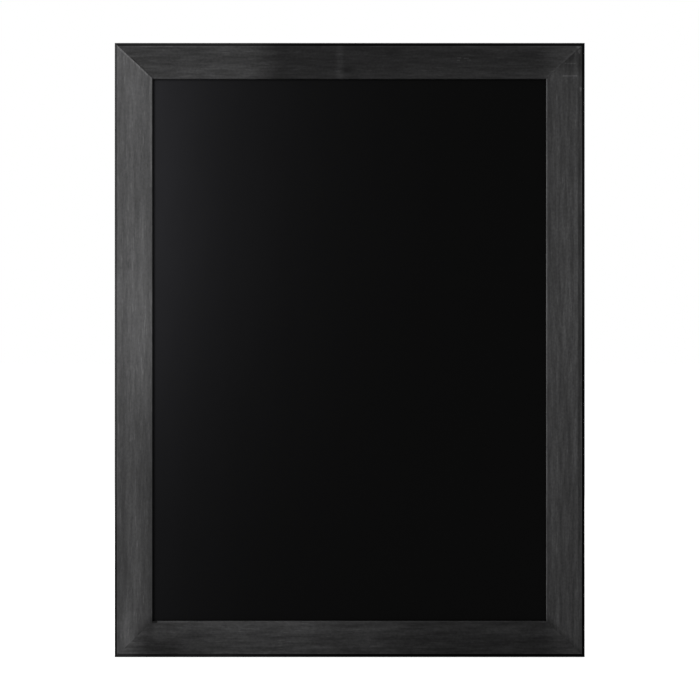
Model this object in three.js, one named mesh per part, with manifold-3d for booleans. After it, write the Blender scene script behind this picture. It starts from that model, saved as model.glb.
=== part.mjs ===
// A framed chalkboard that hangs on a wall, upright or on its side.
// Four mitred wooden mouldings hold a lacquered writing panel and its backing board in a rebate.
// Flexible points keep the two boards in, and corner nails pull the mitres together. Four strap
// hangers with D-rings carry the board on wall hooks, and rubber bumpers keep it off the wall.
//
// Millimetres. X runs along the width, Y from the face towards the wall, and Z up. The origin is the
// middle of the lower edge, halfway through the depth.
import * as THREE from "three";
import { mergeVertices } from "three/addons/utils/BufferGeometryUtils.js";
import Module from "manifold-3d";

const wasm = await Module();
wasm.setup();

// The frame. A stile is an upright moulding, and a rail is a level one.
const BOARD_WIDTH = 600;
const BOARD_HEIGHT = 784;
const STILE_WIDTH = 49;
const RAIL_WIDTH = 46;
const FRAME_DEPTH = 18;
const LIP_DEPTH = 5; // how far the writing panel lies behind the frame's face
const REBATE_WIDTH = 7; // how far the lip reaches over the boards
const OUTER_ROUND = 2.5;
const INNER_ROUND = 1.2;
const BACK_ROUND = 0.8;
const GLUE_LINE = 0.3; // the gap across a mitre

// The two boards in the rebate.
const PANEL_THICKNESS = 3;
const BACKING_THICKNESS = 3;
const BOARD_MARGIN = 1; // room between a board's edge and the rebate's wall
const BOARD_CORNER = 2;
const SEAT_GAP = 0.3; // clearance in front of each layer that lies in the rebate
const FASTENER_GAP = 0.3; // clearance round what is driven into the wood

// Corner nails: steel Vs driven into the back, across each mitre.
const NAIL_LEG = 6;
const NAIL_SHEET = 0.8;
const NAIL_DEPTH = 10;
const NAIL_SINK = 0.5; // how far below the frame's back a nail ends
const NAIL_CURL = 0.9; // radius of the curled edge of a leg
const NAIL_PLACES = [0.4, 0.88]; // shares of the mitre's stretch that has room for nails

// Flexible points: steel tabs driven into the rebate's wall, over the backing board.
const POINT_BITE = 8;
const POINT_REACH = 11; // how far a point stands out over the backing board
const POINT_WIDTH = 6;
const POINT_SHEET = 0.5;
const POINT_TAPER = 4;
const POINT_TIP = 4; // length of the end that is bent up
const POINT_LIFT = 1.2;
const POINTS_ON_STILE = 4;
const POINTS_ON_RAIL = 3;

// Strap hangers: a steel strap, folded round the straight bar of a D-ring.
const HANGER_DROP = 130; // from the frame's end to the D-ring's bar
const STRAP_WIDTH = 12;
const STRAP_SHEET = 0.8;
const STRAP_SLIT = 0.2; // between the strap's two layers
const STRAP_END = 7.5; // from the last screw to the strap's rounded end
const WIRE = 2.4;
const WIRE_PLAY = 0.3; // clearance between the bar and the fold round it
const RING_SHOULDER = 1.6; // straight bar that shows on each side of the strap
const RING_CORNER = 2.2;
const RING_SIDE = 1.6; // straight stretch between a corner and the bow

// Pan-head wood screws, two to a hanger.
const SCREW_RADIUS = 1.75;
const SCREW_PITCH = 12.5;
const SCREW_STOP = 5.8; // wood left in front of a screw's tip
const SCREW_TAPER = 5;
const HEAD_RADIUS = 3.5;
const HEAD_HEIGHT = 2.3;
const HEAD_EDGE = 0.7; // height of the head's straight edge
const HEAD_TO_RING = 0.7; // room between the first head and the folded D-ring
const RECESS_WIDTH = 0.9;
const RECESS_LENGTH = 4;
const RECESS_DEPTH = 1.3;

// Rubber bumpers on the back, near the corners.
const BUMPER_INSET = 64; // from the frame's end to the bumper's middle
const BUMPER_RADIUS = 6.2;
const BUMPER_TOP_RADIUS = 4.8;
const BUMPER_HEIGHT = 5;
const BUMPER_ROUND = 0.8;

// How finely round shapes are cut.
const ROUND_STEPS = 2;
const FOLD_STEPS = 8;
const WIRE_SIDES = 8;
const CORNER_STEPS = 3;
const BOW_STEPS = 14;
const TURNED_SIDES = 16;
const CROWN_STEPS = 4;

const openingWidth = BOARD_WIDTH - 2 * STILE_WIDTH;
const openingHeight = BOARD_HEIGHT - 2 * RAIL_WIDTH;
const boardWidth = openingWidth + 2 * (REBATE_WIDTH - BOARD_MARGIN);
const boardHeight = openingHeight + 2 * (REBATE_WIDTH - BOARD_MARGIN);
const panelFront = LIP_DEPTH + SEAT_GAP;
const backingFront = panelFront + PANEL_THICKNESS + SEAT_GAP;
const pointFront = backingFront + BACKING_THICKNESS + SEAT_GAP;

const nailReach = NAIL_LEG + NAIL_CURL + FASTENER_GAP;
const nailRoom = 1 - (REBATE_WIDTH + nailReach) / Math.min(STILE_WIDTH, RAIL_WIDTH);

const foldBore = WIRE / 2 + WIRE_PLAY;
const barHeight = foldBore + STRAP_SHEET; // from the frame's back to the D-ring's bar
const strapTop = 2 * STRAP_SHEET + STRAP_SLIT;
const bowRadius = STRAP_WIDTH / 2 + RING_SHOULDER + RING_CORNER;
const bowMiddle = RING_CORNER + RING_SIDE;
const ringReach = bowMiddle + bowRadius + WIRE / 2;
const firstScrew = ringReach + HEAD_TO_RING + HEAD_RADIUS;
const screwPlaces = [firstScrew, firstScrew + SCREW_PITCH];
const strapLength = firstScrew + SCREW_PITCH + STRAP_END;
const screwLength = FRAME_DEPTH + strapTop - SCREW_STOP;

const stainedWood = new THREE.MeshStandardMaterial({ color: 0x37373a, roughness: 0.6, metalness: 0 });
const chalkLacquer = new THREE.MeshStandardMaterial({ color: 0x0c0c0e, roughness: 0.5, metalness: 0 });
const hardboard = new THREE.MeshStandardMaterial({ color: 0x6e4a2e, roughness: 0.75, metalness: 0 });
const blueSteel = new THREE.MeshStandardMaterial({ color: 0x6c6f74, roughness: 0.4, metalness: 1 });
const platedSteel = new THREE.MeshStandardMaterial({ color: 0xb9bbbd, roughness: 0.28, metalness: 1 });
const rubber = new THREE.MeshStandardMaterial({ color: 0x2a2a2c, roughness: 0.7, metalness: 0 });

// A closed geometry as a solid that can be cut and joined.
function solidOf(geometry) {
  const bare = geometry.clone();
  bare.deleteAttribute("normal");
  bare.deleteAttribute("uv");
  const merged = mergeVertices(bare, 1e-4);
  return new wasm.Manifold(
    new wasm.Mesh({
      numProp: 3,
      vertProperties: merged.attributes.position.array,
      triVerts: Uint32Array.from(merged.index.array),
    }),
  );
}

// The solid's triangles as a flat-shaded geometry.
function geometryOf(solid) {
  const { vertProperties, triVerts } = solid.getMesh();
  const indexed = new THREE.BufferGeometry();
  indexed.setAttribute("position", new THREE.BufferAttribute(Float32Array.from(vertProperties), 3));
  indexed.setIndex(new THREE.BufferAttribute(Uint32Array.from(triVerts), 1));
  const flat = indexed.toNonIndexed();
  flat.computeVertexNormals();
  return flat;
}

function polygon(points) {
  return new THREE.Shape(points.map(([x, y]) => new THREE.Vector2(x, y)));
}

function extruded(shape, depth, curveSegments = ROUND_STEPS) {
  return new THREE.ExtrudeGeometry(shape, { depth, bevelEnabled: false, curveSegments });
}

// An outline drawn in X and Z, made thick from one depth to another.
function plate(shape, fromY, toY, curveSegments = ROUND_STEPS) {
  return extruded(shape, toY - fromY, curveSegments).rotateX(Math.PI / 2).translate(0, toY, 0);
}

function roundedRectangle(width, height, radius) {
  const [x, z] = [width / 2 - radius, height / 2 - radius];
  const quarter = Math.PI / 2;
  return new THREE.Shape()
    .absarc(x, -z, radius, -quarter, 0)
    .absarc(x, z, radius, 0, quarter)
    .absarc(-x, z, radius, quarter, 2 * quarter)
    .absarc(-x, -z, radius, 2 * quarter, 3 * quarter);
}

// The moulding's section: X inwards from the frame's outer edge, Y from its face to its back.
function mouldingSection(width) {
  const wall = width - REBATE_WIDTH;
  const quarter = Math.PI / 2;
  return new THREE.Shape()
    .absarc(BACK_ROUND, FRAME_DEPTH - BACK_ROUND, BACK_ROUND, 2 * quarter, quarter, true)
    .absarc(wall - BACK_ROUND, FRAME_DEPTH - BACK_ROUND, BACK_ROUND, quarter, 0, true)
    .lineTo(wall, LIP_DEPTH)
    .lineTo(width, LIP_DEPTH)
    .absarc(width - INNER_ROUND, INNER_ROUND, INNER_ROUND, 0, -quarter, true)
    .absarc(OUTER_ROUND, OUTER_ROUND, OUTER_ROUND, -quarter, -2 * quarter, true);
}

// What the saw takes off one end of a moulding: all that lies past the mitre.
function mitreWaste(width, otherWidth, length, end) {
  const slope = otherWidth / width;
  const setBack = (GLUE_LINE / 2) * Math.hypot(1, slope);
  const mitreAt = (x) => end * (length / 2 - setBack - x * slope);
  const [before, past] = [-width, 2 * width];
  const outline = polygon([
    [before, mitreAt(before)],
    [past, mitreAt(past)],
    [past, end * length],
    [before, end * length],
  ]);
  return plate(outline, -FRAME_DEPTH, 2 * FRAME_DEPTH);
}

// A mitred moulding along Z, with its outer edge at X 0 and its face at Y 0.
function moulding(width, otherWidth, length) {
  let solid = solidOf(extruded(mouldingSection(width), length).translate(0, 0, -length / 2));
  for (const end of [-1, 1]) {
    solid = solid.subtract(solidOf(mitreWaste(width, otherWidth, length, end)));
  }
  return geometryOf(solid);
}

// A corner nail: two legs along X and Z from its fold, with curled edges. Grown, it is its own pocket.
function cornerNail(grow = 0) {
  const half = NAIL_SHEET / 2 + grow;
  const leg = NAIL_LEG + grow;
  const front = FRAME_DEPTH - NAIL_SINK - NAIL_DEPTH - grow;
  const back = FRAME_DEPTH - NAIL_SINK + grow;
  const outline = polygon([
    [-half, -half],
    [leg, -half],
    [leg, half],
    [half, half],
    [half, leg],
    [-half, leg],
  ]);
  let solid = solidOf(plate(outline, front, back));
  for (const [x, z] of [[NAIL_LEG, 0], [0, NAIL_LEG]]) {
    const curl = new THREE.Shape().absarc(x, z, NAIL_CURL + grow, 0, 2 * Math.PI);
    solid = solid.add(solidOf(plate(curl, front, back, 2 * ROUND_STEPS)));
  }
  return geometryOf(solid);
}

// The dent above a corner nail, where its punch pressed the wood in.
function nailDent() {
  const edge = NAIL_CURL + FASTENER_GAP;
  const outline = polygon([[-edge, -edge], [nailReach, -edge], [-edge, nailReach]]);
  return plate(outline, FRAME_DEPTH - NAIL_SINK, FRAME_DEPTH + NAIL_SINK);
}

// A flexible point: X runs out of the rebate's wall, and Y 0 is the side over the backing board.
function flexiblePoint() {
  const round = POINT_WIDTH / 2;
  const side = polygon([
    [-POINT_BITE, 0],
    [POINT_REACH - POINT_TIP, 0],
    [POINT_REACH, POINT_LIFT],
    [POINT_REACH, POINT_LIFT + POINT_SHEET],
    [POINT_REACH - POINT_TIP, POINT_SHEET],
    [-POINT_BITE, POINT_SHEET],
  ]);
  const plan = new THREE.Shape()
    .moveTo(-POINT_BITE, 0)
    .lineTo(-POINT_BITE + POINT_TAPER, -round)
    .absarc(POINT_REACH - round, 0, round, -Math.PI / 2, Math.PI / 2)
    .lineTo(-POINT_BITE + POINT_TAPER, round);
  const strip = solidOf(extruded(side, POINT_WIDTH).translate(0, 0, -round));
  return geometryOf(strip.intersect(solidOf(plate(plan, -POINT_SHEET, POINT_LIFT + 2 * POINT_SHEET))));
}

// The slot that a flexible point makes in the rebate's wall.
function pointSlot() {
  const half = POINT_WIDTH / 2 + FASTENER_GAP;
  const depth = POINT_BITE + FASTENER_GAP;
  const outline = polygon([[-depth, -half], [BOARD_MARGIN, -half], [BOARD_MARGIN, half], [-depth, half]]);
  return plate(outline, -FASTENER_GAP, POINT_SHEET + FASTENER_GAP);
}

// A hanger's strap: one strip, folded round a bar that lies along X. It hangs below the bar and lies
// on Y 0, and its two layers are a slit apart.
function hangerStrap() {
  const slitTop = STRAP_SHEET + STRAP_SLIT;
  const innerEnd = Math.asin((slitTop - barHeight) / foldBore);
  const outerStart = Math.asin((strapTop - barHeight) / barHeight);
  const side = new THREE.Shape()
    .moveTo(strapLength, 0)
    .lineTo(strapLength, STRAP_SHEET)
    .absarc(0, barHeight, foldBore, -Math.PI / 2, innerEnd, true)
    .lineTo(strapLength, slitTop)
    .lineTo(strapLength, strapTop)
    .absarc(0, barHeight, barHeight, outerStart, 1.5 * Math.PI);
  const round = STRAP_WIDTH / 2;
  const plan = new THREE.Shape()
    .moveTo(round, 2 * barHeight)
    .lineTo(-round, 2 * barHeight)
    .absarc(0, -strapLength + round, round, Math.PI, 2 * Math.PI);
  const strip = extruded(side, STRAP_WIDTH, FOLD_STEPS).translate(0, 0, -round).rotateY(Math.PI / 2);
  let solid = solidOf(strip).intersect(solidOf(plate(plan, -barHeight, 3 * barHeight, FOLD_STEPS)));
  for (const place of screwPlaces) {
    const radius = SCREW_RADIUS + FASTENER_GAP;
    const hole = new THREE.CylinderGeometry(radius, radius, 4 * barHeight, TURNED_SIDES);
    solid = solid.subtract(solidOf(hole.translate(0, 0, -place)));
  }
  return geometryOf(solid);
}

// The D-ring's middle line in X and Z: its straight bar lies along X at Z 0, and its bow is above.
function dRingLine() {
  const points = [];
  const arc = (x, z, radius, from, to, steps) => {
    for (let i = 0; i <= steps; i++) {
      const angle = Math.PI * (from + ((to - from) * i) / steps);
      points.push(new THREE.Vector2(x + radius * Math.cos(angle), z + radius * Math.sin(angle)));
    }
  };
  arc(bowRadius - RING_CORNER, RING_CORNER, RING_CORNER, -0.5, 0, CORNER_STEPS);
  arc(0, bowMiddle, bowRadius, 0, 1, BOW_STEPS);
  arc(RING_CORNER - bowRadius, RING_CORNER, RING_CORNER, 1, 1.5, CORNER_STEPS);
  return points;
}

// A closed loop of round wire round a flat line in X and Z, mitred at each of its points.
function wireLoop(line, radius) {
  const positions = [];
  const faces = [];
  line.forEach((point, i) => {
    const next = (i + 1) % line.length;
    const before = line[(i + line.length - 1) % line.length];
    const into = point.clone().sub(before).normalize();
    const out = line[next].clone().sub(point).normalize();
    const across = new THREE.Vector2(into.y + out.y, -into.x - out.x).normalize();
    const stretch = 1 / across.dot(new THREE.Vector2(into.y, -into.x));
    for (let side = 0; side < WIRE_SIDES; side++) {
      const angle = (2 * Math.PI * side) / WIRE_SIDES;
      const outwards = radius * Math.cos(angle) * stretch;
      positions.push(point.x + across.x * outwards, radius * Math.sin(angle), point.y + across.y * outwards);
      const [here, there] = [i * WIRE_SIDES, next * WIRE_SIDES];
      const nextSide = (side + 1) % WIRE_SIDES;
      faces.push(here + side, here + nextSide, there + side);
      faces.push(here + nextSide, there + nextSide, there + side);
    }
  });
  const loop = new THREE.BufferGeometry();
  loop.setAttribute("position", new THREE.Float32BufferAttribute(positions, 3));
  loop.setIndex(faces);
  loop.computeVertexNormals();
  return loop;
}

// A turned piece about Y, from its outline as pairs of radius and height.
function turned(outline) {
  const points = outline.map(([radius, y]) => new THREE.Vector2(radius, y));
  return new THREE.LatheGeometry(points, TURNED_SIDES);
}

// A wood screw along Y: its head stands on Y 0, and its tip is below.
function screw() {
  const crown = [];
  for (let i = 1; i < CROWN_STEPS; i++) {
    const angle = (Math.PI / 2) * (i / CROWN_STEPS);
    const height = HEAD_EDGE + (HEAD_HEIGHT - HEAD_EDGE) * Math.sin(angle);
    crown.push([HEAD_RADIUS * Math.cos(angle), height]);
  }
  const blank = turned([
    [0, -screwLength],
    [SCREW_RADIUS, -screwLength + SCREW_TAPER],
    [SCREW_RADIUS, 0],
    [HEAD_RADIUS, 0],
    [HEAD_RADIUS, HEAD_EDGE],
    ...crown,
    [0, HEAD_HEIGHT],
  ]);
  let solid = solidOf(blank);
  for (const [x, z] of [[RECESS_LENGTH, RECESS_WIDTH], [RECESS_WIDTH, RECESS_LENGTH]]) {
    const slot = new THREE.BoxGeometry(x, 2 * RECESS_DEPTH, z).translate(0, HEAD_HEIGHT, 0);
    solid = solid.subtract(solidOf(slot));
  }
  return geometryOf(solid);
}

// The hole that a screw makes in the wood.
function screwHole() {
  const radius = SCREW_RADIUS + FASTENER_GAP;
  return turned([
    [0, -screwLength - FASTENER_GAP],
    [radius, -screwLength + SCREW_TAPER - FASTENER_GAP],
    [radius, 0],
    [0, 0],
  ]);
}

function bumper() {
  const rim = [];
  for (let i = 0; i <= CORNER_STEPS; i++) {
    const angle = (Math.PI / 2) * (i / CORNER_STEPS);
    rim.push([
      BUMPER_TOP_RADIUS - BUMPER_ROUND * (1 - Math.cos(angle)),
      BUMPER_HEIGHT - BUMPER_ROUND * (1 - Math.sin(angle)),
    ]);
  }
  return turned([[0, 0], [BUMPER_RADIUS, 0], ...rim, [0, BUMPER_HEIGHT]]);
}

function mesh(name, geometry, material) {
  const made = new THREE.Mesh(geometry, material);
  made.name = name;
  return made;
}

// The pockets to cut in each moulding: a geometry each, placed where its fastener is.
const pockets = new Map();

function carve(wood, geometry, fastener) {
  pockets.set(wood, [...(pockets.get(wood) ?? []), { geometry, fastener }]);
}

// A strap hanger. Its group's origin is on the frame's back, under the D-ring's bar.
function hanger(side, wood) {
  const group = new THREE.Group();
  group.add(mesh(`hanger_strap_${side}`, hangerStrap(), platedSteel));
  const ring = mesh(`hanger_ring_${side}`, wireLoop(dRingLine(), WIRE / 2), platedSteel);
  ring.position.y = barHeight;
  group.add(ring);
  screwPlaces.forEach((place, i) => {
    const fastener = mesh(`hanger_screw_${side}_${i + 1}`, screw(), platedSteel);
    fastener.position.set(0, strapTop, -place);
    group.add(fastener);
    carve(wood, screwHole(), fastener);
  });
  return group;
}

// One side of the frame with all that is fixed to it. X points inwards from its outer edge. The
// hanger goes near one end of the side, and its D-ring points to that end.
function frameSide({ name, side, width, otherWidth, length, points, hangerEnd, bumpers }) {
  const group = new THREE.Group();
  const wood = mesh(name, moulding(width, otherWidth, length), stainedWood);
  group.add(wood);

  const wall = width - REBATE_WIDTH;
  const sight = length - 2 * otherWidth;
  for (let i = 0; i < points; i++) {
    const point = mesh(`flexible_point_${side}_${i + 1}`, flexiblePoint(), blueSteel);
    point.position.set(wall, pointFront, ((i + 0.5) / points - 0.5) * sight);
    group.add(point);
    carve(wood, pointSlot(), point);
  }

  const hung = hanger(side, wood);
  hung.position.set(wall / 2, FRAME_DEPTH, hangerEnd * (length / 2 - HANGER_DROP));
  hung.rotation.y = hangerEnd > 0 ? 0 : Math.PI;
  group.add(hung);

  for (const [place, end] of bumpers) {
    const foot = mesh(`wall_bumper_${place}_${side}`, bumper(), rubber);
    foot.position.set(wall / 2, FRAME_DEPTH, end * (length / 2 - BUMPER_INSET));
    group.add(foot);
  }
  return { group, wood };
}

const stile = {
  width: STILE_WIDTH,
  otherWidth: RAIL_WIDTH,
  length: BOARD_HEIGHT,
  points: POINTS_ON_STILE,
};
const rail = {
  width: RAIL_WIDTH,
  otherWidth: STILE_WIDTH,
  length: BOARD_WIDTH,
  points: POINTS_ON_RAIL,
  bumpers: [],
};
const left = frameSide({
  ...stile,
  name: "left_stile",
  side: "left",
  hangerEnd: 1,
  bumpers: [["lower", -1], ["upper", 1]],
});
const right = frameSide({
  ...stile,
  name: "right_stile",
  side: "right",
  hangerEnd: -1,
  bumpers: [["lower", 1], ["upper", -1]],
});
const top = frameSide({ ...rail, name: "top_rail", side: "top", hangerEnd: -1 });
const bottom = frameSide({ ...rail, name: "bottom_rail", side: "bottom", hangerEnd: 1 });
left.group.position.set(-BOARD_WIDTH / 2, 0, BOARD_HEIGHT / 2);
right.group.position.set(BOARD_WIDTH / 2, 0, BOARD_HEIGHT / 2);
right.group.rotation.y = Math.PI;
top.group.position.set(0, 0, BOARD_HEIGHT);
top.group.rotation.y = Math.PI / 2;
bottom.group.rotation.y = -Math.PI / 2;

const chalkboard = new THREE.Group();
chalkboard.add(left.group, right.group, top.group, bottom.group);

// The two boards in the rebate.
for (const [name, front, thickness, material] of [
  ["writing_panel", panelFront, PANEL_THICKNESS, chalkLacquer],
  ["backing_board", backingFront, BACKING_THICKNESS, hardboard],
]) {
  const outline = roundedRectangle(boardWidth, boardHeight, BOARD_CORNER);
  const board = mesh(name, plate(outline, front, front + thickness), material);
  board.position.z = BOARD_HEIGHT / 2;
  chalkboard.add(board);
}

// Two corner nails cross each mitre, with their folds towards the outer corner.
for (const { name, x, z, turn, sides } of [
  { name: "lower_left", x: -1, z: -1, turn: 0, sides: [left, bottom] },
  { name: "lower_right", x: 1, z: -1, turn: -Math.PI / 2, sides: [right, bottom] },
  { name: "upper_right", x: 1, z: 1, turn: Math.PI, sides: [right, top] },
  { name: "upper_left", x: -1, z: 1, turn: Math.PI / 2, sides: [left, top] },
]) {
  NAIL_PLACES.forEach((place, i) => {
    const share = place * nailRoom;
    const nail = mesh(`corner_nail_${name}_${i + 1}`, cornerNail(), blueSteel);
    nail.position.x = x * (BOARD_WIDTH / 2 - share * STILE_WIDTH);
    nail.position.z = BOARD_HEIGHT / 2 + z * (BOARD_HEIGHT / 2 - share * RAIL_WIDTH);
    nail.rotation.y = turn;
    chalkboard.add(nail);
    for (const { wood } of sides) {
      carve(wood, cornerNail(FASTENER_GAP), nail);
      carve(wood, nailDent(), nail);
    }
  });
}

// The pockets are cut last, when every fastener is in its place.
chalkboard.updateMatrixWorld(true);
for (const [wood, cuts] of pockets) {
  const toWood = wood.matrixWorld.clone().invert();
  let solid = solidOf(wood.geometry);
  for (const { geometry, fastener } of cuts) {
    geometry.applyMatrix4(fastener.matrixWorld).applyMatrix4(toWood);
    solid = solid.subtract(solidOf(geometry));
  }
  wood.geometry = geometryOf(solid);
}

chalkboard.position.y = -(FRAME_DEPTH + BUMPER_HEIGHT) / 2;

export default chalkboard;
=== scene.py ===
# A framed chalkboard in a plain white studio. Metres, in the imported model's own frame: X along the
# width, Y from the face towards the wall, and Z up.
import math

import bmesh
import bpy
from mathutils import Matrix, Vector, noise


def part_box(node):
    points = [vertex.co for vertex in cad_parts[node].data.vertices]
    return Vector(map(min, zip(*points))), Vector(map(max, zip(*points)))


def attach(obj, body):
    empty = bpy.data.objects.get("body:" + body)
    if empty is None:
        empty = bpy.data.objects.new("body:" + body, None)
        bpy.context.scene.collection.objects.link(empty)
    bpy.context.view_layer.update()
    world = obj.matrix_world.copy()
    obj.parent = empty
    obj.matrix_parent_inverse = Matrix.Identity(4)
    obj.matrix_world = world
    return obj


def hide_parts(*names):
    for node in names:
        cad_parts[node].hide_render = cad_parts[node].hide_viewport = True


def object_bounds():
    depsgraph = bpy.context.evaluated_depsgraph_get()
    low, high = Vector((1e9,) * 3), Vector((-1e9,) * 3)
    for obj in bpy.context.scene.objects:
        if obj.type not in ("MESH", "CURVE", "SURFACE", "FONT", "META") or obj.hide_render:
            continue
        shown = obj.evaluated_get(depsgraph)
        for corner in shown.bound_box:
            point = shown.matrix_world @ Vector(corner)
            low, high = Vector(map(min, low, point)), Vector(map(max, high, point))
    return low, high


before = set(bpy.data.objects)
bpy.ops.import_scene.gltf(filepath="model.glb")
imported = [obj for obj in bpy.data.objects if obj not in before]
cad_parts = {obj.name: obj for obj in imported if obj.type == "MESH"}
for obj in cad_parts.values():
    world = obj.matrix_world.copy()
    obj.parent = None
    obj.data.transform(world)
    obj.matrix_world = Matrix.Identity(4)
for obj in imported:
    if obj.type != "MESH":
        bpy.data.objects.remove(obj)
cad_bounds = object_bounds()

MM = 0.001

# The photograph: its size in pixels, and the board's outline in it.
PHOTO_SIZE = 700
PHOTO_LEFT = 114.55
PHOTO_RIGHT = 584.9
PHOTO_TOP = 42.75
PHOTO_BOTTOM = 657.3

# Meshes: how near points are to be welded, how many degrees make an edge sharp, and how many facets an
# eased edge has.
WELD = 1e-7
SHARP_ANGLE = 35
EDGE_FACETS = 2

# Mouldings, as the frame's solids have them, and how many facets their rounded edges have here.
REBATE_WIDTH = 7 * MM
OUTER_ROUND = 2.5 * MM
INNER_ROUND = 1.2 * MM
BACK_ROUND = 0.8 * MM
SEAT_GAP = 0.3 * MM
OUTER_FACETS = 8
INNER_FACETS = 6
BACK_FACETS = 4

# How far apart a moulding's points are: along it, and across its face, its back and its outer side.
LENGTH_SPACING = 3 * MM
FACE_SPACING = 1 * MM
BACK_SPACING = 3 * MM
SIDE_SPACING = 2 * MM

# Relief of the wood. Each layer of grain has waves a metre along and across, and its own row of noise.
# Each layer of wear has waves a metre, its own row of noise, and its share. The face has all of the
# grain and the outer arris all of the wear, and other parts have shares of them.
GRAIN_HEIGHT = 0.05 * MM
GRAIN_SINK = 0.6
GRAIN_LAYERS = ((7, 45, 0), (26, 330, 11))
ARRIS_WEAR = 0.04 * MM
WEAR_START = 0.25
WEAR_LAYERS = ((38, 3, 1), (130, 9, 0.5))
OUTER_GRAIN = 0.4
INNER_GRAIN = 0.6
BACK_GRAIN = 0.6
INNER_WEAR = 0.6
MITRE_EASE = 0.15 * MM
MITRE_EASE_REACH = 0.3 * MM

# The two boards.
BOARD_CORNER = 2 * MM
BOARD_CORNER_FACETS = 6
BOARD_EASE = 0.3 * MM
BOARD_SPACING = 6 * MM
BOARD_WAVE = 0.02 * MM
BOARD_WAVES = 9

# Corner nails, and the pockets and dents that they lie in.
NAIL_LEG = 6 * MM
NAIL_SHEET = 0.8 * MM
NAIL_DEPTH = 10 * MM
NAIL_SINK = 0.5 * MM
NAIL_CURL = 0.9 * MM
NAIL_EDGE = 0.1 * MM
NAIL_PLACES = (0.4, 0.88)
CURL_FACETS = 16
POCKET_GAP = 0.12 * MM
DENT_REACH = 7.2 * MM
DENT_BACK = 1.2 * MM
DENT_CUT = 2 * MM

# Flexible points.
POINT_BITE = 8 * MM
POINT_REACH = 11 * MM
POINT_WIDTH = 6 * MM
POINT_SHEET = 0.5 * MM
POINT_TAPER = 4 * MM
POINT_TIP = 4 * MM
POINT_LIFT = 1.2 * MM
POINT_EDGE = 0.08 * MM
POINT_FACETS = 14
LIFT_FACETS = 12
POINTS_ON_STILE = 4
POINTS_ON_RAIL = 3

# Strap hangers.
HANGER_DROP = 130 * MM
STRAP_WIDTH = 12 * MM
STRAP_SHEET = 0.8 * MM
STRAP_SLIT = 0.2 * MM
STRAP_END = 7.5 * MM
STRAP_EDGE = 0.12 * MM
STRAP_BEND = 0.8 * MM
STRAP_END_FACETS = 16
FOLD_FACETS = 40
BEND_FACETS = 12
HOLE_RADIUS = 2.05 * MM
HOLE_SIDES = 24

# D-rings.
WIRE = 2.4 * MM
WIRE_PLAY = 0.3 * MM
WIRE_SIDES = 18
RING_SHOULDER = 1.6 * MM
RING_CORNER = 2.2 * MM
RING_CORNER_FACETS = 10
RING_SIDE = 1.6 * MM
BOW_FACETS = 64
BAR_SPACING = 2 * MM

# Screws. The recess's floor and mouth are shares of its length and width, and no two screws of a hanger
# are turned alike (in degrees).
SCREW_RADIUS = 1.75 * MM
SCREW_PITCH = 12.5 * MM
SCREW_STOP = 5.8 * MM
SCREW_TAPER = 5 * MM
SCREW_SIDES = 48
SCREW_TURN = 17
SCREW_TURN_STEP = 31
SIDE_TURN_STEP = 40
HEAD_RADIUS = 3.5 * MM
HEAD_HEIGHT = 2.3 * MM
HEAD_EDGE = 0.7 * MM
HEAD_EASE = 0.15 * MM
HEAD_TO_RING = 0.7 * MM
CROWN_FACETS = 12
RECESS_WIDTH = 0.9 * MM
RECESS_LENGTH = 4 * MM
RECESS_DEPTH = 1.3 * MM
RECESS_FLOOR = (0.55, 0.7)
RECESS_MOUTH = (1.2, 1.1)

# Bumpers.
BUMPER_INSET = 64 * MM
BUMPER_RADIUS = 6.2 * MM
BUMPER_TOP_RADIUS = 4.8 * MM
BUMPER_HEIGHT = 5 * MM
BUMPER_ROUND = 0.8 * MM
BUMPER_ROUND_START = 10
BUMPER_ROUND_FACETS = 8
BUMPER_EASE = 0.15 * MM
BUMPER_DIMPLE = 0.35 * MM
BUMPER_DIMPLE_RADIUS = 2.6 * MM
BUMPER_DIMPLE_FACETS = 5
BUMPER_SIDES = 56

# The frame's sizes, as the solids have them.
board_low, board_high = cad_bounds
stile_low, stile_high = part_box("left_stile")
panel_low, panel_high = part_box("writing_panel")
backing_low, backing_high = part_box("backing_board")
frame_front = stile_low.y
frame_back = stile_high.y
frame_depth = frame_back - frame_front
stile_width = stile_high.x - stile_low.x
rail_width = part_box("bottom_rail")[1].z
board_width = board_high.x - board_low.x
board_height = board_high.z - board_low.z
middle = board_height / 2
lip_depth = panel_low.y - SEAT_GAP - frame_front


# Meshes.

def new_object(name, data):
    made = bpy.data.objects.new(name, data)
    bpy.context.scene.collection.objects.link(made)
    return made


def mesh_of(name, vertices, faces):
    mesh = bpy.data.meshes.new(name)
    mesh.from_pydata(vertices, [], faces)
    return mesh


def shape_now(thing):
    """A mesh of an object's shape as its settings and modifiers make it."""
    bpy.context.view_layer.update()
    evaluated = thing.evaluated_get(bpy.context.evaluated_depsgraph_get())
    return bpy.data.meshes.new_from_object(evaluated)


def softened(mesh):
    mesh.shade_smooth()
    mesh.set_sharp_from_angle(angle=math.radians(SHARP_ANGLE))
    return mesh


def tidy(mesh):
    """Welds a mesh, turns its faces outwards, and smooths it but for its sharp edges."""
    shape = bmesh.new()
    shape.from_mesh(mesh)
    bmesh.ops.remove_doubles(shape, verts=shape.verts, dist=WELD)
    bmesh.ops.recalc_face_normals(shape, faces=shape.faces)
    shape.to_mesh(mesh)
    shape.free()
    return softened(mesh)


def arc(centre, radius, start, end, steps):
    """Points on an arc, its angles in degrees."""
    points = []
    for i in range(steps + 1):
        angle = math.radians(start + (end - start) * i / steps)
        points.append((centre[0] + radius * math.cos(angle), centre[1] + radius * math.sin(angle)))
    return points


def evenly(start, end, step):
    """Values strictly between two ends, about a step apart."""
    count = max(1, round(abs(end - start) / step))
    return [start + (end - start) * i / count for i in range(1, count)]


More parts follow.
